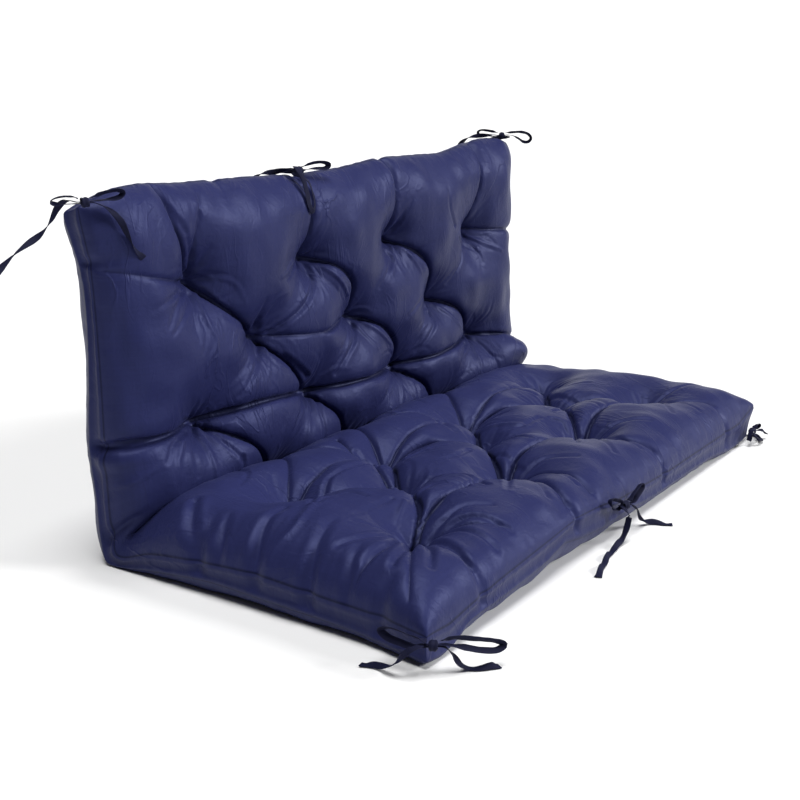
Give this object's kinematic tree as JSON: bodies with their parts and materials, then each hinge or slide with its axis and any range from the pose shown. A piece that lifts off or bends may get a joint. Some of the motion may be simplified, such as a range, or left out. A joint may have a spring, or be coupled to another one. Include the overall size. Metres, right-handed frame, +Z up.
{
  "type": "swing seat cushion",
  "caption": "Long tufted swing seat cushion in one piece, folded into a flat seat and an upright back, with a sewn side strip and flat tie straps knotted in bows along its edges.",
  "frame": {"origin": "on the underside of the seat, at the middle of the width, below the rearmost row of seat tufts", "axes": "+X along the width, to the right of someone who looks at the front of the back; +Y from the front edge of the seat to the rear of the back; +Z up"},
  "size_m": [1.3815, 0.7751, 0.6259],
  "materials": {
    "cushion_cloth": "closely woven navy cloth with a soft satin sheen",
    "tie_cloth": "flat sewn strap of matt dark navy cloth"
  },
  "bodies": {
    "root": {"cushion": "cushion_cloth", "tie_back_left_a": "tie_cloth", "tie_back_left_b": "tie_cloth", "tie_back_left_knot": "tie_cloth", "tie_back_middle_a": "tie_cloth", "tie_back_middle_b": "tie_cloth", "tie_back_middle_knot": "tie_cloth", "tie_back_right_a": "tie_cloth", "tie_back_right_b": "tie_cloth", "tie_back_right_knot": "tie_cloth", "tie_front_left_a": "tie_cloth", "tie_front_left_b": "tie_cloth", "tie_front_left_knot": "tie_cloth", "tie_front_middle_a": "tie_cloth", "tie_front_middle_b": "tie_cloth", "tie_front_middle_knot": "tie_cloth", "tie_front_right_a": "tie_cloth", "tie_front_right_b": "tie_cloth", "tie_front_right_knot": "tie_cloth"}
  },
  "joints": []
}
